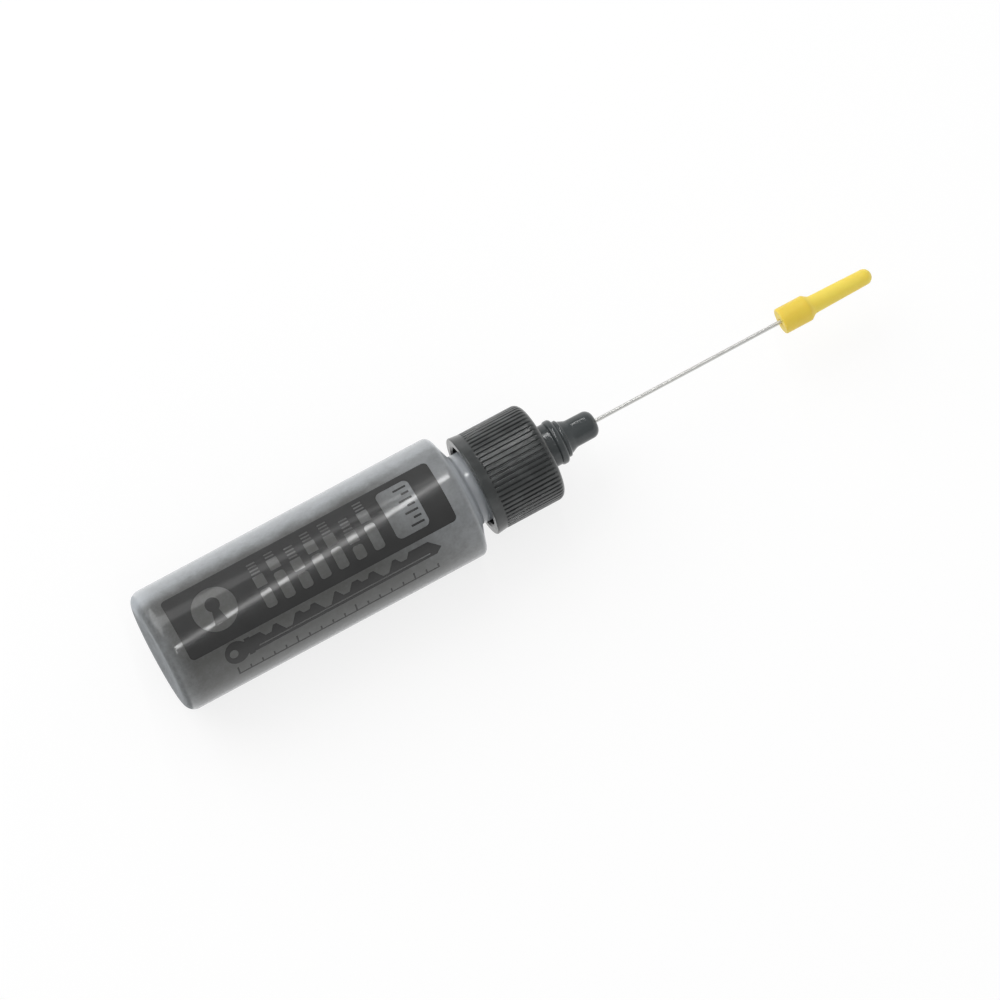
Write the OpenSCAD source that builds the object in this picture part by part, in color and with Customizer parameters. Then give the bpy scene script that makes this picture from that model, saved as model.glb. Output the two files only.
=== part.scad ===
// Graphite lock lubricant bottle, lying on its side: a translucent squeeze bottle of
// graphite powder, a ribbed screw collar that clamps a nozzle on the bottle's neck,
// a steel needle bonded into the nozzle, and a push-on cover over the needle's tip.
// Millimetres. The bottle's axis runs along +X from its base to the needle, +Z is up.
// The origin lies on the surface under the bottle, below the middle of the whole length.
// Every piece is drawn upright along Z from the bottle's base and then laid down.

/* [Bottle] */
// Outer diameter of the squeeze bottle
bottle_d = 20; // [17:0.5:28]
// Length from the base to the edge of the shoulder
body_len = 51.2; // [44:0.2:80]
// Wall thickness of the body, shoulder and base
wall = 0.9; // [0.6:0.1:1.4]
// Radius of the rounded heel around the base
heel_r = 1.8; // [1:0.1:2.6]
// Width of the flat ring that the bottle stands on
foot_w = 1.6; // [1:0.1:2.5]
// Height of the hollow pushed up into the base
push_up = 0.8; // [0.3:0.1:1.4]
// Radius of the rounded edge of the shoulder
shoulder_r = 0.9; // [0.4:0.1:1.5]
// Rise of the sloping shoulder from its edge to the neck
shoulder_rise = 1.5; // [0.8:0.1:4]

/* [Neck] */
// Outer diameter of the neck at the root of its thread
neck_d = 11.5; // [10:0.1:14]
// Wall thickness of the neck
neck_wall = 1.3; // [0.9:0.1:1.6]
// Length of the neck from the shoulder to its rim
neck_len = 11.1; // [8:0.1:18]

/* [Screw collar] */
// Wall between the collar's bore and the grooves of its grip
collar_wall = 1.1; // [0.7:0.05:2]
// Outward flare of the rim beyond the grip ribs
rim_flare = 0.2; // [0.05:0.05:0.6]
// Thickness of the end wall at its edge
collar_end_t = 1.3; // [0.9:0.1:2]
// Rise of the coned end from its edge to the hole
collar_cone = 0.6; // [0.2:0.1:1.5]
// Radius of the rounded edge of the end
collar_edge_r = 1.3; // [0.6:0.1:1.8]
// Length of the smooth band beside the rim
rim_band = 1.7; // [1:0.1:3]
// Number of grip ribs
rib_count = 60; // [36:1:72]
// Depth of the grooves between the ribs
rib_depth = 0.34; // [0.2:0.02:0.5]

/* [Nozzle] */
// Thickness of the flange clamped on the neck's rim
flange_t = 1; // [0.7:0.1:1.6]
// Length of the plug that seals the neck's bore
plug_len = 5; // [3:0.1:8]
// Wall thickness of the plug
plug_wall = 0.85; // [0.6:0.05:1.2]
// Diameter of the throat that turns in the collar's hole
throat_d = 6.9; // [6.2:0.1:8.5]
// Height of the rounded snap bead above the throat
bead_h = 0.22; // [0.16:0.02:0.6]
// Width of the snap bead along the nozzle
bead_w = 1.4; // [1:0.05:2.5]
// Length of throat left bare between the collar's end and the bead
bead_gap = 1.3; // [0.2:0.05:2]
// Diameter of the stem's root, at the bead
stem_root_d = 5.7; // [4.8:0.1:6]
// Diameter of the stem
stem_d = 4.44; // [3.6:0.02:4.8]
// Length of the cone from the stem's root to the stem
stem_cone_len = 1.9; // [0.8:0.1:2.5]
// Length of the stem from that cone to its end
stem_len = 4.2; // [3:0.1:9]
// Radius of the rounded end of the stem
stem_end_r = 1.3; // [0.6:0.1:1.6]

/* [Needle] */
// Outer diameter of the needle tube
needle_d = 0.64; // [0.5:0.02:1.2]
// Wall thickness of the needle tube
needle_wall = 0.15; // [0.1:0.01:0.2]
// Length of the needle bonded inside the nozzle
needle_bond_len = 6; // [4:0.1:6.5]
// Bare length between the nozzle and the cover
needle_bare_len = 32.7; // [15:0.1:60]
// Length of the needle inside the cover
needle_in_cover = 9.3; // [5:0.1:12]

/* [Tip cover] */
// Diameter of the cover's gripping collar
cover_collar_d = 4.2; // [3.4:0.1:6]
// Length of the gripping collar
cover_collar_len = 4.6; // [3:0.1:7]
// Length of the cone from the collar down to the nose
cover_cone_len = 0.9; // [0.5:0.1:2]
// Diameter of the nose beside the collar
cover_nose_d = 2.9; // [2.4:0.1:3.3]
// Diameter of the nose at its end
cover_tip_d = 2.5; // [2:0.1:2.8]
// Length of the closed nose past the needle's bore
cover_nose_len = 6.1; // [3:0.1:10]

/* [Powder] */
// Depth of the empty space above the powder as the bottle lies
headspace = 3.2; // [2:0.1:5]
// Distance from the shoulder to where the powder starts to slope down
slump_len = 16.3; // [12:0.1:24]
// Slope of the slumped powder, in degrees
powder_slope = 40; // [30:1:45]

/* [Fits] */
// Radial room for the thread between the neck and the collar's bore
thread_room = 0.85; // [0.7:0.05:1.2]
// Bare neck between the shoulder and the collar's rim
rim_gap = 1.4; // [0.4:0.1:3]
// Radial gap between the nozzle's flange and the collar's bore
flange_gap = 0.3; // [0.1:0.05:0.5]
// Radial gap between the nozzle's plug and the neck's bore
plug_gap = 0.05; // [0.02:0.01:0.1]
// Radial gap between the nozzle's throat and the collar's hole
spin_gap = 0.1; // [0.05:0.01:0.15]
// Radial thickness of the bond round the needle
bond_gap = 0.02; // [0.01:0.01:0.05]
// Radial gap between the needle and the cover's bore
cover_gap = 0.03; // [0.02:0.01:0.08]
// Gap between the powder and the bottle's inner wall
powder_gap = 0.1; // [0.05:0.05:0.3]

/* [Hidden] */
$fn = 96;
// Straight steps in each rounded corner of an outline
ARC_STEPS = 8;
// Small breaks and fillets of the mouldings
edge_break = 0.25;
neck_fillet = 0.5;
mouth_bevel = 0.3;
// Room left past the needle's tip in the cover's blind bore
tip_room = 0.6;
// Share of a rib's pitch that its crest and its groove's floor take
RIB_CREST_SHARE = 0.42;
RIB_FLOOR_SHARE = 0.2;

bottle_r = bottle_d / 2;
inner_r = bottle_r - wall;
neck_r = neck_d / 2;
neck_bore_r = neck_r - neck_wall;
collar_bore_r = neck_r + thread_room;
collar_r = collar_bore_r + collar_wall + rib_depth;
throat_r = throat_d / 2;
stem_r = stem_d / 2;
needle_r = needle_d / 2;
needle_bore_r = needle_r - needle_wall;
foot_in = bottle_r - heel_r - foot_w;
inner_heel_r = max(heel_r - wall, edge_break);

// Stations along the axis, from the base
shoulder_top = body_len + shoulder_rise;
neck_top = shoulder_top + neck_len;
collar_ceiling = neck_top + flange_t;
collar_rim = shoulder_top + rim_gap;
collar_edge = collar_ceiling + collar_end_t;
collar_top = collar_edge + collar_cone;
bead_start = collar_top + bead_gap;
bead_end = bead_start + bead_w;
stem_start = bead_end + stem_cone_len;
nozzle_tip = stem_start + stem_len;
needle_start = nozzle_tip - needle_bond_len;
cover_start = nozzle_tip + needle_bare_len;
needle_end = cover_start + needle_in_cover;
cover_bore_end = needle_end + tip_room;
overall_len = cover_bore_end + cover_nose_len;

// Heights of the sloping shoulder's inside, a wall thickness below its outside
shoulder_slope = shoulder_rise / (bottle_r - neck_r);
inner_shoulder = body_len - wall;
inner_neck = inner_shoulder + shoulder_slope * (inner_r - neck_bore_r);

// The powder's surface above the axis, and where it starts to slope down
powder_level = inner_r - headspace;
powder_crest = inner_shoulder - slump_len;

function unit(p) = p / norm(p);
function turn(from, to) = let (d = to - from) d > 180 ? d - 360 : d < -180 ? d + 360 : d;

function place(corner) = [corner[0], corner[1]];

// The length of the edge from corner b that its fillet may use: about half if both ends are rounded
function edge_room(a, b) = norm(place(a) - place(b)) * (a[2] > 0 ? 0.48 : 0.96);

// The arc that rounds corner b between a and c, with its radius limited by the two edges
function corner_arc(a, b, c) =
    let (
        to_a = unit(place(a) - place(b)),
        to_c = unit(place(c) - place(b)),
        half = acos(to_a * to_c) / 2,
        radius = min(b[2], min(edge_room(a, b), edge_room(c, b)) * tan(half)),
        centre = place(b) + unit(to_a + to_c) * radius / sin(half),
        start = place(b) + to_a * radius / tan(half) - centre,
        end = place(b) + to_c * radius / tan(half) - centre,
        first = atan2(start.y, start.x),
        sweep = turn(first, atan2(end.y, end.x))
    )
    [for (k = [0:ARC_STEPS]) centre + radius * [cos(first + sweep * k / ARC_STEPS),
                                                sin(first + sweep * k / ARC_STEPS)]];

function is_straight(a, b, c) = norm(unit(place(a) - place(b)) + unit(place(c) - place(b))) < 0.001;

// A closed outline from corners [radius, station, fillet], with each filleted corner an arc
function outline(corners) =
    let (n = len(corners))
    [for (i = [0:n - 1])
        let (a = corners[(i + n - 1) % n], b = corners[i], c = corners[(i + 1) % n])
        each b[2] > 0 && !is_straight(a, b, c) ? corner_arc(a, b, c) : [place(b)]];

// A shallow dome's outline from its crown on the axis to its edge
function dome(radius, base, rise) =
    let (sphere_r = (radius * radius + rise * rise) / (2 * rise), half = asin(radius / sphere_r))
    [for (k = [0:ARC_STEPS]) let (a = half * k / ARC_STEPS)
        [sphere_r * sin(a), base + rise - sphere_r * (1 - cos(a)), 0]];

// A bead's outline, bulging out from a cylinder of the given radius
function bulge(radius, start, width, rise) =
    let (bead_r = (width * width / 4 + rise * rise) / (2 * rise), half = asin(width / 2 / bead_r))
    [for (k = [0:ARC_STEPS]) let (a = half * (2 * k / ARC_STEPS - 1))
        [radius + rise - bead_r * (1 - cos(a)), start + width / 2 + bead_r * sin(a), 0]];

function reversed(list) = [for (i = [len(list) - 1:-1:0]) list[i]];

module turned(corners) { rotate_extrude() polygon(outline(corners)); }

// Lays a piece that was drawn upright on its side, with its base towards -X
module laid_down() { translate([-overall_len / 2, 0, bottle_r]) rotate([0, 90, 0]) children(); }

// The space inside the bottle's body, drawn in from its walls by a gap
module body_space(gap) {
    turned(concat(
        dome(foot_in, wall + gap, push_up),
        [[inner_r - gap, wall + gap, inner_heel_r],
         [inner_r - gap, inner_shoulder - gap, shoulder_r],
         [neck_bore_r, inner_neck - gap, 0],
         [0, inner_neck - gap, 0]]));
}

module bottle() {
    color([0.62, 0.64, 0.66, 0.6]) laid_down()
        turned(concat(
            dome(foot_in, 0, push_up),
            [[bottle_r, 0, heel_r],
             [bottle_r, body_len, shoulder_r],
             [neck_r, shoulder_top, neck_fillet],
             [neck_r, neck_top, edge_break],
             [neck_bore_r, neck_top, edge_break],
             [neck_bore_r, inner_neck, neck_fillet],
             [inner_r, inner_shoulder, shoulder_r],
             [inner_r, wall, inner_heel_r]],
            reversed(dome(foot_in, wall, push_up))));
}

// The charge lies level in the bottle and slumps down towards the neck
module graphite_powder() {
    color([0.16, 0.16, 0.16]) laid_down()
        difference() {
            body_space(powder_gap);
            translate([-powder_level - bottle_d, -bottle_d, 0]) cube([bottle_d, 2 * bottle_d, neck_top]);
            translate([-powder_level, 0, powder_crest]) rotate([0, powder_slope, 0])
                translate([-2 * bottle_d, -bottle_d, 0]) cube([2 * bottle_d, 2 * bottle_d, 2 * neck_top]);
        }
}

// The cross section of the grip: straight ribs round the collar
module rib_section() {
    pitch = 360 / rib_count;
    polygon([for (i = [0:rib_count - 1])
        each [for (side = [-1, 1]) collar_r * [cos(pitch * (i + side * RIB_CREST_SHARE / 2)),
                                               sin(pitch * (i + side * RIB_CREST_SHARE / 2))],
              for (side = [-1, 1]) (collar_r - rib_depth)
                  * [cos(pitch * (i + 0.5 + side * RIB_FLOOR_SHARE / 2)),
                     sin(pitch * (i + 0.5 + side * RIB_FLOOR_SHARE / 2))]]]);
}

module screw_collar() {
    hole_r = throat_r + spin_gap;
    rim_r = collar_r + rim_flare;
    ribs_start = collar_rim + rim_band;
    color([0.2, 0.2, 0.2]) laid_down()
        difference() {
            intersection() {
                turned([[0, collar_rim, 0],
                        [rim_r, collar_rim, edge_break],
                        [collar_r, ribs_start, rim_band],
                        [collar_r, collar_edge, collar_edge_r],
                        [hole_r, collar_top, 0],
                        [0, collar_top, 0]]);
                union() {
                    translate([0, 0, collar_rim]) cylinder(r = 2 * rim_r, h = rim_band);
                    translate([0, 0, ribs_start]) linear_extrude(collar_top - ribs_start) rib_section();
                }
            }
            turned([[0, collar_rim - 1, 0],
                    [collar_bore_r + mouth_bevel, collar_rim - 1, 0],
                    [collar_bore_r + mouth_bevel, collar_rim, 0],
                    [collar_bore_r, collar_rim + mouth_bevel, 0],
                    [collar_bore_r, collar_ceiling, 0],
                    [0, collar_ceiling, 0]]);
            translate([0, 0, collar_ceiling - 1]) cylinder(r = hole_r, h = collar_top - collar_ceiling + 2);
        }
}

// A plug, flange, throat, snap bead and stem in one moulding, with a funnel to the needle inside
module nozzle() {
    plug_r = neck_bore_r - plug_gap;
    hollow_r = plug_r - plug_wall;
    flange_r = collar_bore_r - flange_gap;
    seat_r = needle_r + bond_gap;
    color([0.2, 0.21, 0.22]) laid_down()
        turned(concat(
            [[hollow_r, neck_top - plug_len, 0],
             [plug_r, neck_top - plug_len, edge_break],
             [plug_r, neck_top, 0],
             [flange_r, neck_top, edge_break],
             [flange_r, collar_ceiling, 0],
             [throat_r, collar_ceiling, 0]],
            bulge(throat_r, bead_start, bead_w, bead_h),
            [[stem_root_d / 2, bead_end, edge_break],
             [stem_r, stem_start, stem_cone_len],
             [stem_r, nozzle_tip, stem_end_r],
             [seat_r, nozzle_tip, 0],
             [seat_r, needle_start, 0],
             [needle_bore_r, needle_start, 0],
             [hollow_r, neck_top - edge_break, plug_wall]]));
}

module needle_tube() {
    color([0.78, 0.78, 0.76]) laid_down()
        turned([[needle_bore_r, needle_start, 0],
                [needle_r, needle_start, 0],
                [needle_r, needle_end, 0],
                [needle_bore_r, needle_end, 0]]);
}

// A blind sleeve with a gripping collar and a long tapering nose
module tip_cover() {
    bore_r = needle_r + cover_gap;
    nose_start = cover_start + cover_collar_len + cover_cone_len;
    color([0.93, 0.78, 0.12]) laid_down()
        turned([[bore_r + mouth_bevel, cover_start, 0],
                [cover_collar_d / 2, cover_start, edge_break],
                [cover_collar_d / 2, cover_start + cover_collar_len, edge_break],
                [cover_nose_d / 2, nose_start, cover_cone_len],
                [cover_tip_d / 2, overall_len, cover_tip_d / 2],
                [0, overall_len, 0],
                [0, cover_bore_end, 0],
                [bore_r, cover_bore_end, 0],
                [bore_r, cover_start + mouth_bevel, 0]]);
}

bottle();
graphite_powder();
screw_collar();
nozzle();
needle_tube();
tip_cover();
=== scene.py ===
import math

import bmesh
import bpy
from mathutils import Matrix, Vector, noise


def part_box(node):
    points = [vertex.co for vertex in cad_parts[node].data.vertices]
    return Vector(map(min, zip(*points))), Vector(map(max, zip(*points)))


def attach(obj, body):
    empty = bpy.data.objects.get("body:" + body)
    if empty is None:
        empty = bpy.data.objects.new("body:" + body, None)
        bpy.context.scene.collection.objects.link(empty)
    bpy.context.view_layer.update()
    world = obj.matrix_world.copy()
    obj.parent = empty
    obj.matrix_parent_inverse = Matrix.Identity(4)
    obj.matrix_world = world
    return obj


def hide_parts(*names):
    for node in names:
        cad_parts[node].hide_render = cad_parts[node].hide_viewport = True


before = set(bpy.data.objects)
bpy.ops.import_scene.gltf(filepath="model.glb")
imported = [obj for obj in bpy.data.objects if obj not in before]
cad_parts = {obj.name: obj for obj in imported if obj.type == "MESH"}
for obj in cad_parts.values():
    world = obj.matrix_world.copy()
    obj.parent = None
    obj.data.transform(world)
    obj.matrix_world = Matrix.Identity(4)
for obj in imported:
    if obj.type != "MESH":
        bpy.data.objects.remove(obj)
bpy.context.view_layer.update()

# Sizes in mm, as stations along the axis from the bottle's base and radii about the axis

MM = 0.001
bottle_low, bottle_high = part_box("bottle")
BASE_X = bottle_low.x
AXIS_Z = (bottle_low.z + bottle_high.z) / 2


def reach(node):
    """A node's first and last station and its radius."""
    low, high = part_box(node)
    return (low.x - BASE_X) / MM, (high.x - BASE_X) / MM, (high.z - low.z) / 2 / MM


_, NECK_TOP, BOTTLE_R = reach("bottle")
COLLAR_RIM, COLLAR_TOP, RIM_R = reach("screw_collar")
PLUG_START, NOZZLE_TIP, FLANGE_R = reach("nozzle")
NEEDLE_START, NEEDLE_END, NEEDLE_R = reach("needle_tube")
COVER_START, COVER_END, COVER_R = reach("tip_cover")

INK_BED = 0.004
INK_TOP = 0.02
INK_MARGIN = 0.005
BODY_R = BOTTLE_R - INK_TOP - INK_MARGIN
WALL = 0.9
INNER_R = BODY_R - WALL
HEEL = 1.8
FOOT_IN = 6.6
FOOT_OUT = 8.2
FOOT_REST = 0.1
PUSH_UP = 0.5
DOME_ROUNDING = 40
BODY_END = 51.2
SHOULDER_TOP = 52.7
SHOULDER_EDGE = 0.9
NECK_R = 5.75
NECK_BORE = 4.45
NECK_FILLET = 0.5
RIM_ROUNDING = 0.25
FOOT_ROUNDING = 0.3
INNER_SHOULDER = BODY_END - WALL
SHOULDER_SLANT = 0.14
INNER_NECK = SHOULDER_TOP - WALL + SHOULDER_SLANT
SEAM_RISE = 0.022
PINCH_RISE = 0.04
PINCH_SPAN = (0.5, FOOT_IN - 1)

THREAD_PITCH = 2.117
THREAD_STEPS = 60
THREAD_FADE = 0.12
THREAD_ROOTED = 0.04
NECK_THREAD = {
    "start": 58.2,
    "turns": 2,
    "root": NECK_R - THREAD_ROOTED,
    "crest": 6.42,
    "foot": 1.1,
    "flat": 0.5,
}
COLLAR_BORE = 6.6
COLLAR_THREAD = {
    "start": NECK_THREAD["start"] - 1.5 * THREAD_PITCH,
    "turns": 1.75,
    "root": COLLAR_BORE + THREAD_ROOTED,
    "crest": 5.98,
    "foot": 0.95,
    "flat": 0.45,
}

GRIP_R = RIM_R - 0.2
GROOVE_R = GRIP_R - 0.26
RIBS = 60
STEPS_PER_RIB = 5
GROOVE_STEPS = (3, 4)
CREST_EDGE_STEPS = (0, 2)
CREST_ROUNDING = 0.06
RIBS_START = COLLAR_RIM + 1.7
GROOVE_RUN_IN = 0.3
COLLAR_EDGE = COLLAR_TOP - 0.6
COLLAR_CEILING = NECK_TOP + 1
MOUTH_BEVEL = 0.3

THROAT_R = 3.45
HOLE_R = THROAT_R + 0.1
PLUG_R = NECK_BORE - 0.05
HOLLOW_R = PLUG_R - 0.85
BEAD_R = 3.67
BEAD_START = COLLAR_TOP + 1.3
BEAD_END = BEAD_START + 1.4
BEAD_FLANK = 0.25
BEAD_ROUNDING = 0.5
RING_R = 3.05
RING_END = BEAD_END + 0.55
RING_STEP = 0.1
RING_FLANK = 0.15
RING_ROUNDING = 0.2
STEM_ROOT_R = 2.8
STEM_R = 2.24
STEM_END_R = 2.2
STEM_START = BEAD_END + 1.9
STEM_END_ROUNDING = 1.3
NEEDLE_SEAT_R = NEEDLE_R + 0.02
SEAT_BEVEL = 0.12
NEEDLE_BORE_R = NEEDLE_R - 0.15

COVER_COLLAR_END = COVER_START + 4.6
COVER_NOSE = COVER_COLLAR_END + 0.9
NOSE_R = 1.45
NOSE_END_R = 1.25
COVER_BORE_R = NEEDLE_R + 0.03
COVER_BORE_END = NEEDLE_END + 0.6

POWDER_GAP = 0.1
POWDER_LEVEL = 5.9
POWDER_CREST = 34.0
POWDER_SLOPE = math.radians(40)
POWDER_GRAIN = 0.35
# Height and size of the powder's large and small lumps
POWDER_LUMPS = ((0.45, 3.2), (0.2, 1.1))

# The wall's look: shares of clear wall by place, two of them painted light on the far upper side and the
# heel, stretches over which they fade, colours and gloss

# The far side's and the heel's shares are painted light: the wall is drawn lighter there, as if lit, in the
# clear colour
FAR_SIDE_PAINTED_LIGHT = 0.62
FAR_SIDE_FADE = (0.62, 0.93)
UPPER_HALF_FADE = (0.5, 4)
HEADSPACE_CLEAN = 0.38
HEADSPACE_FADE = (3, 13)
NECK_CLEAN = 0.62
NECK_FADE = (50.5, 52.5)
HEEL_PAINTED_LIGHT = 0.25
HEEL_FADE = (4, 0.5)
BASE_FADE = (0.95, 0.55)
CLEAR_AND_LIT_WALL = (0.63, 0.665, 0.7, 1)
DUSTY_WALL = (0.086, 0.086, 0.079, 1)
WALL_COAT = 0.75
WALL_ROUGHNESS = 0.32
BASE_ROUGHNESS = 0.92

# The picture: slope of the axis in it, tilt of the needle away from it, and the nozzle's tip in pixels

AXIS_SLOPE = math.radians(28.2)
AXIS_TILT = math.radians(8.5)
TIP_PIXEL = (594.7, 421.2)
PICTURE = 1000
PIXELS_PER_MM = 6.57
LENS = 200
SENSOR = 36

AZIMUTH = math.acos(math.cos(AXIS_TILT) * math.cos(AXIS_SLOPE))
ELEVATION = math.acos(math.sin(AXIS_TILT) / math.sin(AZIMUTH))
PICTURE_RIGHT = Vector((math.cos(AZIMUTH), -math.sin(AZIMUTH), 0))
AWAY = Vector((math.sin(AZIMUTH), math.cos(AZIMUTH), 0))
UP = Vector((0, 0, 1))
PICTURE_UP = AWAY * math.sin(ELEVATION) + UP * math.cos(ELEVATION)
TO_CAMERA = UP * math.sin(ELEVATION) - AWAY * math.cos(ELEVATION)
# The line along the body that faces the camera, as an angle from the top towards -Y
FACING = math.atan2(-TO_CAMERA.y, TO_CAMERA.z)

ROUND_STEPS = 180
ARC_STEP = math.radians(9)
HOLD = 0.12
SHARP_ANGLE = math.radians(32)
MERGE = 0.0002


# Shader values and finishes


class Signal:
    """A value inside a finish: arithmetic on it adds Math nodes."""

    def __init__(self, finish, socket):
        self.finish = finish
        self.socket = socket

    def maths(self, operation, *values):
        return self.finish.node("ShaderNodeMath", {"operation": operation}, dict(enumerate(values)))

    def output(self, name):
        return Signal(self.finish, self.socket.node.outputs[name])

    def __add__(self, other):
        return self.maths("ADD", self, other)

    __radd__ = __add__

    def __sub__(self, other):
        return self.maths("SUBTRACT", self, other)

    def __rsub__(self, other):
        return self.maths("SUBTRACT", other, self)

    def __mul__(self, other):
        return self.maths("MULTIPLY", self, other)

    __rmul__ = __mul__


class Finish:
    """A material with one Principled shader, and calls that add the nodes which vary it."""

    def __init__(self, name, constants):
        self.material = bpy.data.materials.new(name)
        self.material.use_nodes = True
        self.tree = self.material.node_tree
        self.shader = self.tree.nodes["Principled BSDF"]
        for socket, value in constants.items():
            self.shader.inputs[socket].default_value = value

    def node(self, kind, settings, inputs, output=0):
        node = self.tree.nodes.new(kind)
        for name, value in settings.items():
            setattr(node, name, value)
        for key, value in inputs.items():
            if isinstance(value, Signal):
                self.tree.links.new(value.socket, node.inputs[key])
            else:
                node.inputs[key].default_value = value
        return Signal(self, node.outputs[output])

    def feed(self, socket, value):
        self.tree.links.new(value.socket, self.shader.inputs[socket])

    def place(self, stretch=(1, 1, 1)):
        """The point on the piece in mm: station along X, and Y and Z from the axis."""
        scale = [factor / MM for factor in stretch]
        move = [-BASE_X * scale[0], 0, -AXIS_Z * scale[2]]
        point = self.node("ShaderNodeTexCoord", {}, {}, "Object")
        return self.node("ShaderNodeMapping", {}, {"Vector": point, "Location": move, "Scale": scale})

    def axes(self, place):
        split = self.node("ShaderNodeSeparateXYZ", {}, {"Vector": place}, "X")
        return split, split.output("Y"), split.output("Z")

    def noise(self, place, size, detail=3):
        """Soft noise from 0 to 1 with patches of a size in mm."""
        return self.node("ShaderNodeTexNoise", {}, {"Vector": place, "Scale": 1 / size, "Detail": detail})

    def step(self, value, start, end, low=0, high=1):
        """A smooth step from low to high as the value goes from start to end."""
        settings = {"interpolation_type": "SMOOTHSTEP"}
        inputs = {"Value": value, "From Min": start, "From Max": end, "To Min": low, "To Max": high}
        return self.node("ShaderNodeMapRange", settings, inputs)

    def mix(self, share, first, second):
        settings = {"data_type": "RGBA"}
        return self.node("ShaderNodeMix", settings, {0: share, 6: first, 7: second}, 2)

    def bump(self, height, depth):
        """Raises the surface by a height from 0 to 1 times a depth in mm."""
        inputs = {"Height": height, "Distance": depth * MM, "Strength": 1}
        self.feed("Normal", self.node("ShaderNodeBump", {}, inputs))


def smoky_plastic():
    """Translucent polyethylene, grey with the graphite that clings inside it, with painted light on its far
    upper side and its heel, and dull on its base.
    """
    finish = Finish("smoky_plastic", {
        "Transmission Weight": 0.4,
        "IOR": 1.5,
        "Specular IOR Level": 0.2,
        "Coat Roughness": 0.06,
        "Sheen Weight": 0.3,
        "Sheen Roughness": 0.4,
        "Sheen Tint": (0.9, 0.95, 1, 1),
    })
    place = finish.place()
    station, across, height = finish.axes(place)
    patches = finish.noise(place, 6, 4)
    mottle = finish.noise(place, 1.3, 5)
    speckle = finish.noise(place, 0.4, 3)
    # Painted light: the far upper side is drawn lighter, as if lit there
    to_far_side = across * 0.098 + height * 0.017 + patches * 0.15
    far_side_light = finish.step(to_far_side, *FAR_SIDE_FADE, 0, FAR_SIDE_PAINTED_LIGHT)
    upper_half = finish.step(height + patches * 4, *UPPER_HALF_FADE)
    along_slump = (station - POWDER_CREST) * math.sin(POWDER_SLOPE)
    above_slump = along_slump + (height - POWDER_LEVEL) * math.cos(POWDER_SLOPE)
    headspace = finish.step(above_slump + patches * 4, *HEADSPACE_FADE, 0, HEADSPACE_CLEAN)
    neck = finish.step(station, *NECK_FADE, 0, NECK_CLEAN)
    # Painted light: the heel is drawn lighter, standing in for light in its thick wall
    heel = finish.step(station, *HEEL_FADE, 0, HEEL_PAINTED_LIGHT)
    base = finish.step(station, *BASE_FADE)
    # The clear share holds real clear wall and painted light; the dusty share holds dusty wall and the
    # shade beside the painted light
    clean_and_lit = headspace.maths("MAXIMUM", far_side_light * upper_half, headspace) + neck + heel
    grain = (mottle - 0.5) * 0.3 + (speckle - 0.5) * 0.2
    dust_and_shade = finish.step(clean_and_lit + grain, -0.1, 1, 0.97, 0.03)
    finish.feed("Base Color", finish.mix(dust_and_shade, CLEAR_AND_LIT_WALL, DUSTY_WALL))
    finish.feed("Coat Weight", WALL_COAT - base * WALL_COAT)
    finish.feed("Roughness", WALL_ROUGHNESS + base * (BASE_ROUGHNESS - WALL_ROUGHNESS))
    finish.bump(finish.noise(place, 3.5, 2), 0.03)
    return finish.material


def graphite():
    """Loose dark powder with a faint metallic sheen."""
    finish = Finish("graphite", {"Metallic": 0.35})
    place = finish.place()
    grains = finish.noise(place, 0.25, 4)
    lumps = finish.noise(place, 1.6, 3)
    finish.feed("Base Color", finish.mix(lumps, (0.03, 0.03, 0.031, 1), (0.085, 0.085, 0.087, 1)))
    finish.feed("Roughness", finish.step(grains, 0.3, 0.7, 0.4, 0.7))
    finish.bump(grains + lumps, 0.12)
    return finish.material


def black_moulding(name, colour, worn, roughness, skin):
    """Black polyolefin with a fine skin and a dusting of graphite."""
    finish = Finish(name, {"Specular IOR Level": 0.5})
    place = finish.place()
    smears = finish.noise(place, 2.4, 4)
    finish.feed("Base Color", finish.mix(finish.step(smears, 0.4, 0.7), colour, worn))
    finish.feed("Roughness", finish.step(smears, 0.3, 0.75, roughness * 0.8, roughness * 1.3))
    finish.bump(finish.noise(place, 0.4, 3), skin)
    return finish.material


def drawn_steel():
    """Stainless tube with fine lines along it."""
    finish = Finish("drawn_steel", {"Metallic": 1, "Roughness": 0.42})
    lines = finish.noise(finish.place((0.01, 1, 1)), 0.15, 2)
    finish.feed("Base Color", finish.mix(lines, (0.62, 0.62, 0.6, 1), (0.68, 0.68, 0.66, 1)))
    return finish.material


def yellow_plastic():
    """Soft yellow plastic that lets a little light into it, with its nose painted paler as if lit through.
    """
    finish = Finish("yellow_plastic", {
        "Subsurface Weight": 0.25,
        "Subsurface Radius": (0.9, 0.6, 0.15),
        "Subsurface Scale": 0.8 * MM,
    })
    place = finish.place()
    station, _, _ = finish.axes(place)
    clouds = finish.noise(place, 1.8, 3)
    # Painted light: the nose is drawn paler, standing in for light through its thin plastic
    thin = finish.step(station, COVER_COLLAR_END, COVER_NOSE, 0, 0.5)
    deep = (0.84, 0.6, 0.055, 1)
    pale = (0.94, 0.76, 0.11, 1)
    finish.feed("Base Color", finish.mix(clouds * 0.5 + thin, deep, pale))
    finish.feed("Roughness", finish.step(clouds, 0.3, 0.7, 0.34, 0.46))
    finish.bump(finish.noise(place, 0.4, 3), 0.015)
    return finish.material


def ink():
    """Screen-printed ink, dull and slightly uneven."""
    finish = Finish("ink", {"Specular IOR Level": 0.3, "Coat Weight": 0.5, "Coat Roughness": 0.1})
    place = finish.place()
    grain = finish.noise(place, 0.18, 3)
    cover = finish.noise(place, 3, 4)
    finish.feed("Base Color", finish.mix(cover, (0.013, 0.013, 0.013, 1), (0.028, 0.028, 0.028, 1)))
    finish.feed("Roughness", finish.step(grain, 0.3, 0.7, 0.38, 0.55))
    finish.bump(grain, 0.012)
    return finish.material


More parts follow.
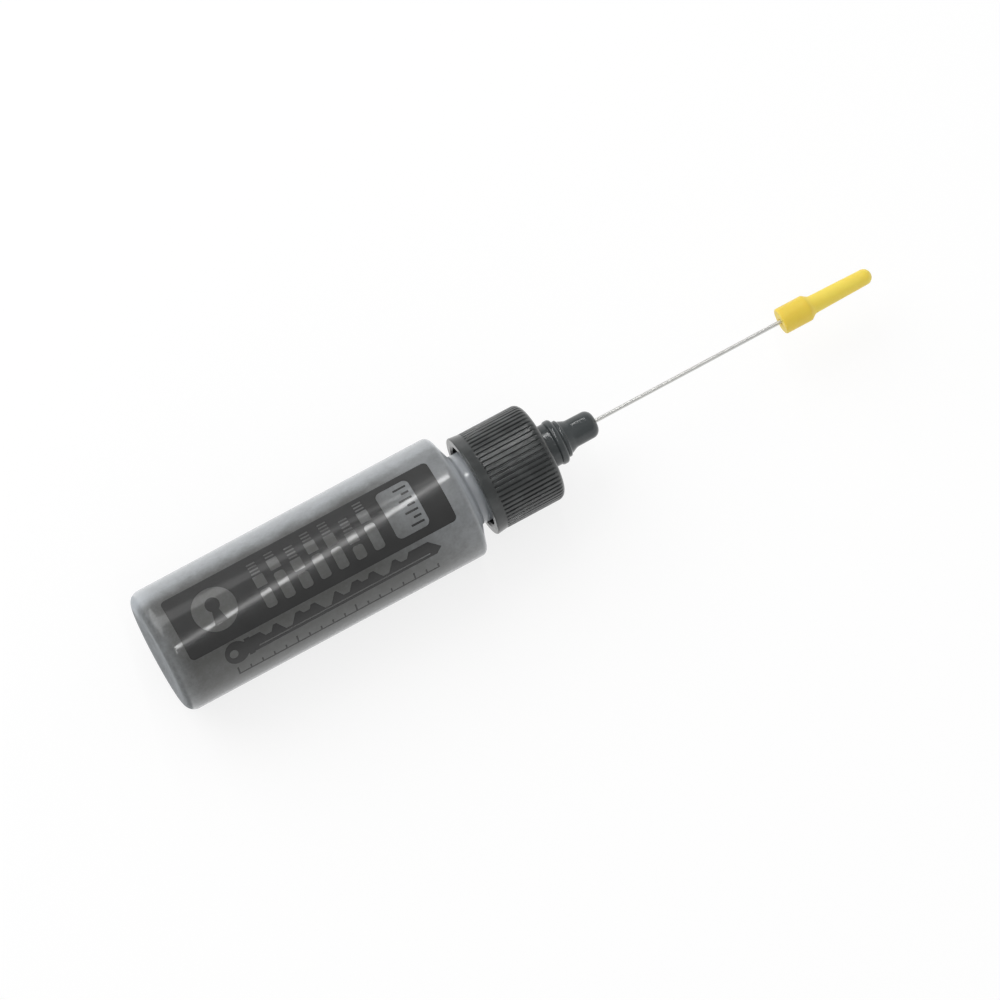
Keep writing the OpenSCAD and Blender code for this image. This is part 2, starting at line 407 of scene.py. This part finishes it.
# Making pieces


def at(station, radius, angle=0.0):
    """A point from a station and radius in mm, at an angle from the top towards -Y."""
    across = -radius * math.sin(angle) * MM
    return Vector((BASE_X + station * MM, across, AXIS_Z + radius * math.cos(angle) * MM))


def polar(point):
    """A point's station and radius in mm, and its angle from the top towards -Y."""
    y, z = point.y / MM, (point.z - AXIS_Z) / MM
    return (point.x - BASE_X) / MM, math.hypot(y, z), math.atan2(-y, z) % math.tau


def corner_plan(corner, before, after):
    """How far from a corner its rounding starts, limited by the edges that it shares, and its steps."""
    ends = (before, after)
    ways = [Vector(end[:2]) - Vector(corner[:2]) for end in ends]
    room = [0.96 * way.length * corner[2] / (corner[2] + end[2]) for way, end in zip(ways, ends)]
    half = ways[0].angle(ways[1]) / 2
    return min(corner[2] / math.tan(half), *room), max(3, round((math.pi - 2 * half) / ARC_STEP))


def turned(corners, closed=True, steps=ROUND_STEPS):
    """A shape turned about the axis from corners (station, radius, rounding)."""
    bm = bmesh.new()
    verts = [bm.verts.new(at(station, radius)) for station, radius, _ in corners]
    for start, end in zip(verts, verts[1:] + verts[:1] * closed):
        bm.edges.new((start, end))
    befores = corners[-1:] + corners[:-1]
    afters = corners[1:] + corners[:1]
    for vert, corner, before, after in zip(verts, corners, befores, afters):
        if corner[2]:
            trim, segments = corner_plan(corner, before, after)
            bmesh.ops.bevel(bm, geom=[vert], offset=trim * MM, offset_type="OFFSET", segments=segments,
                            profile=0.5, affect="VERTICES", material=-1)
    hold_straight(bm)
    bmesh.ops.spin(bm, geom=bm.verts[:] + bm.edges[:], cent=at(0, 0), axis=(1, 0, 0),
                   angle=math.tau, steps=steps, use_merge=True)
    close_up(bm)
    return bm


def hold_straight(bm):
    """Adds a point near both ends of each long straight edge, so that smooth shading bends only there."""
    for edge in [edge for edge in bm.edges if edge.calc_length() > 6 * HOLD * MM]:
        start, end = edge.verts
        share = HOLD * MM / edge.calc_length()
        _, held = bmesh.utils.edge_split(edge, start, share)
        rest = next(link for link in held.link_edges if end in link.verts)
        bmesh.utils.edge_split(rest, end, share / (1 - share))


def close_up(bm):
    """Merges what lies together and turns the faces outwards."""
    bmesh.ops.remove_doubles(bm, verts=bm.verts[:], dist=MERGE * MM)
    bmesh.ops.recalc_face_normals(bm, faces=bm.faces[:])


def add_thread(bm, start, turns, root, crest, foot, flat):
    """Adds a right-hand thread's ridge that fades in and out at its ends."""
    steps = int(turns * THREAD_STEPS)
    section = [(start - foot / 2, root), (start - flat / 2, crest), (start + flat / 2, crest),
               (start + foot / 2, root)]
    ridge = bmesh.new()
    ridge.faces.new([ridge.verts.new(at(*corner)) for corner in section])
    lead = (THREAD_PITCH * turns / steps * MM, 0, 0)
    bmesh.ops.spin(ridge, geom=ridge.verts[:] + ridge.edges[:] + ridge.faces[:], cent=at(0, 0),
                   axis=(1, 0, 0), dvec=lead, angle=math.tau * turns, steps=steps)
    bmesh.ops.holes_fill(ridge, edges=[edge for edge in ridge.edges if edge.is_boundary])
    for vert in ridge.verts:
        station, radius, angle = polar(vert.co)
        share = angle / math.tau
        turn = share + round((station - start) / THREAD_PITCH - share)
        height = min(1, max(0, min(turn, turns - turn) / THREAD_FADE))
        vert.co = at(station, root + (radius - root) * height, angle)
    close_up(ridge)
    mesh = bpy.data.meshes.new("thread")
    ridge.to_mesh(mesh)
    ridge.free()
    bm.from_mesh(mesh)
    bpy.data.meshes.remove(mesh)


def piece(name, bm, material, body, slot, *nodes):
    """Makes a shape a piece that rides on a body, takes a finish and stands for CAD nodes; the slot is not
    used.
    """
    mesh = bpy.data.meshes.new(name)
    for face in bm.faces:
        face.smooth = True
    bm.to_mesh(mesh)
    bm.free()
    mesh.set_sharp_from_angle(angle=SHARP_ANGLE)
    mesh.materials.append(material)
    made = bpy.data.objects.new(name, mesh)
    bpy.context.scene.collection.objects.link(made)
    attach(made, body)
    if nodes:
        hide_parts(*nodes)


# The bottle and its charge


def add_seam(bm):
    """Raises the mould's parting line along both sides, and the pinch line across the base."""
    bm.normal_update()
    middle = at(BODY_END / 2, 0)
    half_step = math.pi / ROUND_STEPS
    for vert in bm.verts:
        station, radius, angle = polar(vert.co)
        beside = abs(angle % math.pi - math.pi / 2) < half_step
        outside = vert.normal.dot(vert.co - middle) > 0
        if not (beside and outside):
            continue
        if FOOT_REST < station < BODY_END and radius > FOOT_OUT:
            vert.co += vert.normal * SEAM_RISE * MM
        elif station < PUSH_UP + FOOT_REST and PINCH_SPAN[0] < radius < PINCH_SPAN[1]:
            vert.co += vert.normal * PINCH_RISE * MM


def bottle_shell():
    bm = turned([
        (PUSH_UP, 0, 0),
        (PUSH_UP, FOOT_IN / 2, DOME_ROUNDING),
        (0, FOOT_IN, FOOT_ROUNDING),
        (0, BODY_R, HEEL),
        (BODY_END, BODY_R, SHOULDER_EDGE),
        (SHOULDER_TOP, NECK_R, NECK_FILLET),
        (NECK_TOP, NECK_R, RIM_ROUNDING),
        (NECK_TOP, NECK_BORE, RIM_ROUNDING),
        (INNER_NECK, NECK_BORE, NECK_FILLET),
        (INNER_SHOULDER, INNER_R, SHOULDER_EDGE),
        (WALL, INNER_R, HEEL - WALL),
        (WALL, FOOT_IN, FOOT_ROUNDING),
        (WALL + PUSH_UP, FOOT_IN / 2, DOME_ROUNDING),
        (WALL + PUSH_UP, 0, 0),
    ], closed=False)
    add_seam(bm)
    add_thread(bm, **NECK_THREAD)
    piece("bottle_shell", bm, smoky_plastic(), "bottle", "bottle", "bottle")


def powder_charge():
    """The charge, level in the lying bottle and slumped towards the neck, with a lumpy surface."""
    wall_r = INNER_R - POWDER_GAP
    bm = turned([
        (WALL + POWDER_GAP + PUSH_UP, 0, 0),
        (WALL + POWDER_GAP + PUSH_UP, FOOT_IN / 2, DOME_ROUNDING),
        (WALL + POWDER_GAP, FOOT_IN, FOOT_ROUNDING),
        (WALL + POWDER_GAP, wall_r, HEEL - WALL),
        (INNER_SHOULDER - POWDER_GAP, wall_r, SHOULDER_EDGE),
        (INNER_NECK - POWDER_GAP, NECK_BORE, 0),
        (INNER_NECK - POWDER_GAP, 0, 0),
    ], closed=False, steps=90)
    slope = Vector((math.sin(POWDER_SLOPE), 0, math.cos(POWDER_SLOPE)))
    for point, normal in ((at(0, POWDER_LEVEL), UP), (at(POWDER_CREST, POWDER_LEVEL), slope)):
        cut = bmesh.ops.bisect_plane(bm, geom=bm.verts[:] + bm.edges[:] + bm.faces[:], dist=MERGE * MM,
                                     plane_co=point, plane_no=normal, clear_outer=True)
        edges = [part for part in cut["geom_cut"] if isinstance(part, bmesh.types.BMEdge)]
        bmesh.ops.holes_fill(bm, edges=edges)
    close_up(bm)
    mesh = bpy.data.meshes.new("charge")
    bm.to_mesh(mesh)
    bm.free()
    rough = bpy.data.objects.new("charge", mesh)
    bpy.context.scene.collection.objects.link(rough)
    remesh = rough.modifiers.new("even", "REMESH")
    remesh.mode = "VOXEL"
    remesh.voxel_size = POWDER_GRAIN * MM
    even = bpy.data.meshes.new_from_object(rough.evaluated_get(bpy.context.evaluated_depsgraph_get()))
    bpy.data.objects.remove(rough)
    bm = bmesh.new()
    bm.from_mesh(even)
    bm.normal_update()
    for vert in bm.verts:
        spot = vert.co / MM
        lumps = sum(height * noise.noise(spot / size) for height, size in POWDER_LUMPS)
        vert.co += UP * lumps * max(0, vert.normal.z) * MM
        station, radius, angle = polar(vert.co)
        vert.co = at(station, min(radius, wall_r), angle)
    piece("powder_charge", bm, graphite(), "bottle", "graphite", "graphite_powder")


# The closure


def ribbed_collar():
    bm = turned([
        (COLLAR_RIM, COLLAR_BORE + MOUTH_BEVEL, 0.1),
        (COLLAR_RIM, RIM_R, 0.3),
        (RIBS_START, GRIP_R, 1.7),
        (RIBS_START + GROOVE_RUN_IN, GRIP_R, 0),
        (COLLAR_EDGE, GRIP_R, 1.3),
        (COLLAR_TOP, HOLE_R, 0.15),
        (COLLAR_CEILING, HOLE_R, 0),
        (COLLAR_CEILING, COLLAR_BORE, 0.3),
        (COLLAR_RIM + MOUTH_BEVEL, COLLAR_BORE, 0),
    ], steps=RIBS * STEPS_PER_RIB)
    step = math.tau / (RIBS * STEPS_PER_RIB)
    columns = {}
    for vert in bm.verts:
        station, radius, angle = polar(vert.co)
        columns[vert] = round(angle / step) % STEPS_PER_RIB
        if columns[vert] in GROOVE_STEPS and station > RIBS_START + GROOVE_RUN_IN / 2:
            vert.co = at(station, min(radius, GROOVE_R), angle)
    crests = []
    for edge in bm.edges:
        start, end = edge.verts
        along = columns[start] == columns[end] and columns[start] in CREST_EDGE_STEPS
        places = [polar(vert.co) for vert in edge.verts]
        ribbed = all(station > RIBS_START + GROOVE_RUN_IN / 2 and radius > GROOVE_R + 0.05
                     for station, radius, _ in places)
        if along and ribbed:
            crests.append(edge)
    bmesh.ops.bevel(bm, geom=crests, offset=CREST_ROUNDING * MM, offset_type="OFFSET", segments=2,
                    profile=0.5, affect="EDGES", material=-1)
    close_up(bm)
    add_thread(bm, **COLLAR_THREAD)
    colour = (0.04, 0.043, 0.043, 1)
    worn = (0.06, 0.064, 0.064, 1)
    material = black_moulding("black_collar", colour, worn, roughness=0.2, skin=0.006)
    piece("ribbed_collar", bm, material, "collar", "collar", "screw_collar")


def snap_nozzle():
    bm = turned([
        (PLUG_START, HOLLOW_R, 0.1),
        (PLUG_START, PLUG_R, 0.3),
        (NECK_TOP, PLUG_R, 0),
        (NECK_TOP, FLANGE_R, 0.2),
        (COLLAR_CEILING, FLANGE_R, 0.2),
        (COLLAR_CEILING, THROAT_R, 0.1),
        (BEAD_START, THROAT_R, 0.2),
        (BEAD_START + BEAD_FLANK, BEAD_R, BEAD_ROUNDING),
        (BEAD_END - BEAD_FLANK, BEAD_R, BEAD_ROUNDING),
        (BEAD_END, RING_R - RING_STEP, 0.08),
        (BEAD_END + RING_FLANK, RING_R, RING_ROUNDING),
        (RING_END, RING_R, RING_ROUNDING),
        (RING_END + RING_STEP, STEM_ROOT_R, 0.3),
        (STEM_START, STEM_R, 1.0),
        (NOZZLE_TIP, STEM_END_R, STEM_END_ROUNDING),
        (NOZZLE_TIP, NEEDLE_SEAT_R + SEAT_BEVEL, 0.05),
        (NOZZLE_TIP - SEAT_BEVEL, NEEDLE_SEAT_R, 0),
        (NEEDLE_START, NEEDLE_SEAT_R, 0),
        (NEEDLE_START, NEEDLE_BORE_R, 0),
        (NECK_TOP - 0.25, HOLLOW_R, 0.85),
    ])
    colour = (0.047, 0.054, 0.056, 1)
    worn = (0.06, 0.067, 0.069, 1)
    material = black_moulding("black_nozzle", colour, worn, roughness=0.1, skin=0.002)
    piece("snap_nozzle", bm, material, "nozzle", "nozzle", "nozzle")


def steel_needle():
    bm = turned([
        (NEEDLE_START, NEEDLE_BORE_R, 0),
        (NEEDLE_START, NEEDLE_R, 0.03),
        (NEEDLE_END, NEEDLE_R, 0.05),
        (NEEDLE_END, NEEDLE_BORE_R, 0.03),
    ], steps=40)
    piece("steel_needle", bm, drawn_steel(), "nozzle", "needle", "needle_tube")


def yellow_cover():
    bm = turned([
        (COVER_END, 0, 0),
        (COVER_END, NOSE_END_R, NOSE_END_R),
        (COVER_NOSE, NOSE_R, 0.9),
        (COVER_COLLAR_END, COVER_R, 0.3),
        (COVER_START, COVER_R, 0.25),
        (COVER_START, COVER_BORE_R + MOUTH_BEVEL, 0.1),
        (COVER_START + MOUTH_BEVEL, COVER_BORE_R, 0),
        (COVER_BORE_END, COVER_BORE_R, 0.1),
        (COVER_BORE_END, 0, 0),
    ], closed=False, steps=96)
    piece("yellow_cover", bm, yellow_plastic(), "cover", "cover", "tip_cover")


# The print: flat outlines in mm, station along the bottle and rise up the picture, wrapped round the body

PANEL = (3.2, -3.4, 48.5, 7.25)
PANEL_ROUNDING = 0.8
ROUNDEL = (9.9, 2.1)
ROUNDEL_R = 3.5
KEYHOLE_R = 1.15
KEYHOLE_RISE = 0.7
KEYHOLE_HALF = 1.05
KEYHOLE_DROP = 2.3
PIN_START = 17.0
PIN_PITCH = 3.05
PIN_W = 1.75
PIN_FOOT = -1.8
PIN_ROUNDING = 0.5
PIN_SPLITS = (1.2, 2.6, 0.7, 2.1, 1.6, 0.4, 2.4)
PIN_GAP = 0.45
DRIVER_LEN = 1.9
DRIVER_ROUNDING = 0.15
COILS = 4
COIL_W = 0.28
COIL_PITCH = 0.58
COIL_INSET = 0.15
COIL_MARGIN = 0.6
WINDOW = (39.1, -2.0, 44.6, 6.1)
WINDOW_ROUNDING = 0.9
TICKS = 7
TICK_LENGTHS = (2.2, 1.3)
TICK_INSET = 0.6
TICK_HALF = 0.17
FINE_ROUNDING = 0.1
KEY_BOW = (9.9, -5.6)
KEY_BOW_R = 1.9
KEY_HOLE_R = 0.7
KEY_HOLE_SHIFT = 0.5
KEY_NECK_HALF = 1.1
KEY_STOP = (11.6, 12.5)
KEY_STOP_HALF = 1.5
KEY_END = 44.6
KEY_BACK_BEVEL = (1.0, 0.9)
KEY_TOP_BEVEL = 1.7
KEY_BACK = -6.9
KEY_TOP = -4.3
KEY_FIRST_CUT = 15.4
KEY_PITCH = 3.3
KEY_FLAT = 0.5
KEY_RAMP = 0.7
KEY_CUTS = (5.2, 5.9, 4.9, 6.0, 5.5, 5.0, 5.9, 5.2)
KEY_GROOVE = (13.4, -6.45, 42.6, -6.2)
SCALE_BASE = -9.6
SCALE_SPAN = (9.0, 43.0)
SCALE_STEP = 2.0
SCALE_LINE = 0.25
SCALE_GROUP = 5
SCALE_TALL = 1.4
SCALE_SHORT = 0.75
WRAP_STEP = 0.21
FLAT_MERGE = 0.0001


def arc(x, rise, radius, start, end, steps=10):
    """Points on a round stretch between two angles in degrees."""
    sweep = [math.radians(start + (end - start) * k / steps) for k in range(steps + 1)]
    return [(x + radius * math.cos(a), rise + radius * math.sin(a)) for a in sweep]


def rounded_box(x0, low, x1, high, radius):
    left, right = x0 + radius, x1 - radius
    bottom, top = low + radius, high - radius
    outline = []
    for k, corner in enumerate([(right, top), (left, top), (left, bottom), (right, bottom)]):
        outline += arc(*corner, radius, 90 * k, 90 * k + 90)
    return outline


def film(name, loops, material):
    """Ink on the body from flat outlines. An outline inside another cuts a hole in it."""
    curve = bpy.data.curves.new(name, "CURVE")
    curve.dimensions = "2D"
    curve.fill_mode = "BOTH"
    for loop in loops:
        spline = curve.splines.new("POLY")
        spline.points.add(len(loop) - 1)
        for point, (x, rise) in zip(spline.points, loop):
            point.co = (x, rise, 0, 1)
        spline.use_cyclic_u = True
    flat = bpy.data.objects.new(name, curve)
    bpy.context.scene.collection.objects.link(flat)
    mesh = bpy.data.meshes.new_from_object(flat.evaluated_get(bpy.context.evaluated_depsgraph_get()))
    bpy.data.objects.remove(flat)
    bm = bmesh.new()
    bm.from_mesh(mesh)
    rises = [vert.co.y for vert in bm.verts]
    for k in range(int((max(rises) - min(rises)) / WRAP_STEP)):
        bmesh.ops.bisect_plane(bm, geom=bm.verts[:] + bm.edges[:] + bm.faces[:], dist=FLAT_MERGE,
                               plane_co=(0, min(rises) + (k + 0.5) * WRAP_STEP, 0), plane_no=(0, 1, 0))
    top_r = BODY_R + INK_TOP
    for vert in bm.verts:
        vert.co = at(vert.co.x, top_r, FACING - vert.co.y / top_r)
    close_up(bm)
    bmesh.ops.solidify(bm, geom=bm.faces[:], thickness=(INK_TOP - INK_BED) * MM)
    piece(name, bm, material, "bottle", "print")


def panel_loops():
    """A dark panel with a bare keyhole roundel, the pin stacks of a lock and a level window."""
    x, rise = ROUNDEL
    keyhole = arc(x, rise + KEYHOLE_RISE, KEYHOLE_R, -60, 240, 24)
    foot = rise - KEYHOLE_DROP
    loops = [
        rounded_box(*PANEL, PANEL_ROUNDING),
        arc(x, rise, ROUNDEL_R, 0, 352, 44),
        keyhole + [(x - KEYHOLE_HALF, foot), (x + KEYHOLE_HALF, foot)],
        rounded_box(*WINDOW, WINDOW_ROUNDING),
    ]
    for k, split in enumerate(PIN_SPLITS):
        start = PIN_START + k * PIN_PITCH
        end = start + PIN_W
        driver = split + PIN_GAP
        loops.append(rounded_box(start, PIN_FOOT, end, split, PIN_ROUNDING))
        loops.append(rounded_box(start, driver, end, driver + DRIVER_LEN, DRIVER_ROUNDING))
        for coil in range(COILS):
            low = driver + DRIVER_LEN + COIL_W + coil * COIL_PITCH
            if low + COIL_W < PANEL[3] - COIL_MARGIN:
                turn = (start + COIL_INSET, low, end - COIL_INSET, low + COIL_W)
                loops.append(rounded_box(*turn, FINE_ROUNDING))
    _, window_low, window_end, window_high = WINDOW
    for k in range(TICKS):
        tick = window_low + (window_high - window_low) * (k + 1) / (TICKS + 1)
        tick_end = window_end - TICK_INSET
        mark = (tick_end - TICK_LENGTHS[k % 2], tick - TICK_HALF, tick_end, tick + TICK_HALF)
        loops.append(rounded_box(*mark, FINE_ROUNDING))
    return loops


def key_loops():
    """A long key with a round bow, a stop and a cut blade with a milled groove."""
    x, rise = KEY_BOW
    stop, blade = KEY_STOP
    cuts = []
    for k, depth in enumerate(KEY_CUTS):
        middle = KEY_FIRST_CUT + k * KEY_PITCH
        mouth = KEY_FLAT + (depth + KEY_TOP) * KEY_RAMP
        cuts += [(middle - mouth, KEY_TOP), (middle - KEY_FLAT, -depth), (middle + KEY_FLAT, -depth),
                 (middle + mouth, KEY_TOP)]
    bevel_run, bevel_rise = KEY_BACK_BEVEL
    outline = arc(x, rise, KEY_BOW_R, 35, 325, 36)
    outline += [(stop, rise - KEY_NECK_HALF), (stop, rise - KEY_STOP_HALF), (blade, rise - KEY_STOP_HALF)]
    outline += [(blade, KEY_BACK), (KEY_END - bevel_run, KEY_BACK), (KEY_END, KEY_BACK + bevel_rise)]
    outline += [(KEY_END - KEY_TOP_BEVEL, KEY_TOP)] + cuts[::-1]
    outline += [(blade, KEY_TOP), (blade, rise + KEY_STOP_HALF)]
    outline += [(stop, rise + KEY_STOP_HALF), (stop, rise + KEY_NECK_HALF)]
    hole = arc(x - KEY_HOLE_SHIFT, rise, KEY_HOLE_R, 0, 350, 20)
    return [outline, hole, rounded_box(*KEY_GROOVE, FINE_ROUNDING)]


def scale_loops():
    """A line with ticks, each fifth of them taller."""
    start, end = SCALE_SPAN
    teeth = []
    for k in range(int((end - start) / SCALE_STEP) + 1):
        x = start + k * SCALE_STEP
        tip = SCALE_BASE + (SCALE_SHORT if k % SCALE_GROUP else SCALE_TALL)
        teeth += [(x, SCALE_BASE), (x, tip), (x + SCALE_LINE, tip), (x + SCALE_LINE, SCALE_BASE)]
    bottom = SCALE_BASE - SCALE_LINE
    return [teeth + [(end + SCALE_LINE, bottom), (start, bottom)]]


# The stage, light and camera: lengths in m, and levels where 1 is white

FLOOR_HALF = 4
FLOOR_WHITE = (0.95, 0.95, 0.95, 1)
FLOOR_GLOW = 1.04
FLOOR_GLOW_SHARE = 0.76
HORIZON_FADE = (0.05, 0.55)
OVERHEAD_LEVEL = 0.45
KEY_PLACE = (UP * 0.7 - PICTURE_RIGHT * 0.62 + AWAY * 0.35) * 1.2
KEY_SIZE = 1.05
KEY_LEVEL = 1.97
STRIP_START = Vector((-0.037, -0.365, 0.61))
STRIP_END = Vector((0.208, 0.9, 0.61))
STRIP_W = 0.012
STRIP_LEVEL = 18


def stage_floor():
    """A white floor, partly glowing where it is seen, so that it stays white under a soft shadow."""
    bm = bmesh.new()
    bmesh.ops.create_grid(bm, x_segments=1, y_segments=1, size=FLOOR_HALF)
    mesh = bpy.data.meshes.new("floor")
    bm.to_mesh(mesh)
    bm.free()
    matt = {"Base Color": FLOOR_WHITE, "Roughness": 1, "Specular IOR Level": 0}
    finish = Finish("white_floor", matt)
    seen = seen_directly(finish)
    glow = finish.node("ShaderNodeEmission", {}, {"Color": (1, 1, 1, 1), "Strength": FLOOR_GLOW})
    lit = Signal(finish, finish.shader.outputs[0])
    floor = finish.node("ShaderNodeMixShader", {}, {0: seen * FLOOR_GLOW_SHARE, 1: lit, 2: glow})
    finish.tree.links.new(floor.socket, finish.tree.nodes["Material Output"].inputs["Surface"])
    mesh.materials.append(finish.material)
    made = bpy.data.objects.new("floor", mesh)
    bpy.context.scene.collection.objects.link(made)


def seen_directly(finish):
    """1 for rays from the camera, a mirror or a window, and 0 for the light that surfaces scatter."""
    ray = finish.node("ShaderNodeLightPath", {}, {}, "Is Camera Ray")
    return ray.maths("MAXIMUM", ray.maths("MAXIMUM", ray, ray.output("Is Glossy Ray")),
                     ray.output("Is Transmission Ray"))


class Sky(Finish):
    """The world's nodes, built with the same calls as a finish."""

    def __init__(self, world):
        world.use_nodes = True
        self.tree = world.node_tree
        self.shader = self.tree.nodes["Background"]


def soft_world():
    """White round the horizon and dimmer overhead, as in a room with a white table."""
    world = bpy.data.worlds.new("soft_white")
    bpy.context.scene.world = world
    sky = Sky(world)
    direction = sky.node("ShaderNodeTexCoord", {}, {}, "Generated")
    _, _, height = sky.axes(direction)
    sky.shader.inputs["Color"].default_value = (1, 1, 1, 1)
    sky.feed("Strength", sky.step(height, *HORIZON_FADE, 1, OVERHEAD_LEVEL))


def area_light(name, place, aim, width, height, level, turn=0.0):
    """A soft lamp whose own brightness is a level, where 1 is white."""
    lamp = bpy.data.lights.new(name, "AREA")
    lamp.shape = "RECTANGLE"
    lamp.size = width
    lamp.size_y = height
    lamp.energy = level * math.pi * width * height
    made = bpy.data.objects.new(name, lamp)
    facing = (place - aim).to_track_quat("Z", "Y")
    made.rotation_euler = facing.to_euler()
    made.rotation_euler.rotate_axis("Z", turn)
    made.location = place
    made.visible_camera = False
    bpy.context.scene.collection.objects.link(made)


def add_lamps():
    """A large lamp at the upper left, and a thin one overhead that the bottle reflects along its length."""
    area_light("key", KEY_PLACE, Vector((0, 0, 0)), KEY_SIZE, KEY_SIZE, KEY_LEVEL)
    middle = (STRIP_START + STRIP_END) / 2
    way = STRIP_END - STRIP_START
    turn = math.atan2(-way.x, way.y)
    area_light("strip", middle, middle - UP, STRIP_W, way.length, STRIP_LEVEL, turn)


def add_camera():
    lens = bpy.data.cameras.new("picture")
    lens.lens = LENS
    lens.sensor_width = SENSOR
    camera = bpy.data.objects.new("picture", lens)
    distance = PICTURE * LENS / SENSOR / PIXELS_PER_MM * MM
    right = (TIP_PIXEL[0] - PICTURE / 2) / PIXELS_PER_MM * MM
    rise = (PICTURE / 2 - TIP_PIXEL[1]) / PIXELS_PER_MM * MM
    camera.location = at(NOZZLE_TIP, 0) + TO_CAMERA * distance - PICTURE_RIGHT * right - PICTURE_UP * rise
    camera.rotation_euler = TO_CAMERA.to_track_quat("Z", "Y").to_euler()
    bpy.context.scene.collection.objects.link(camera)
    bpy.context.scene.camera = camera


bpy.context.scene.view_settings.view_transform = "Standard"
add_camera()
stage_floor()
soft_world()
add_lamps()

bottle_shell()
powder_charge()
ribbed_collar()
snap_nozzle()
steel_needle()
yellow_cover()
print_ink = ink()
film("panel_print", panel_loops(), print_ink)
film("key_print", key_loops(), print_ink)
film("scale_print", scale_loops(), print_ink)
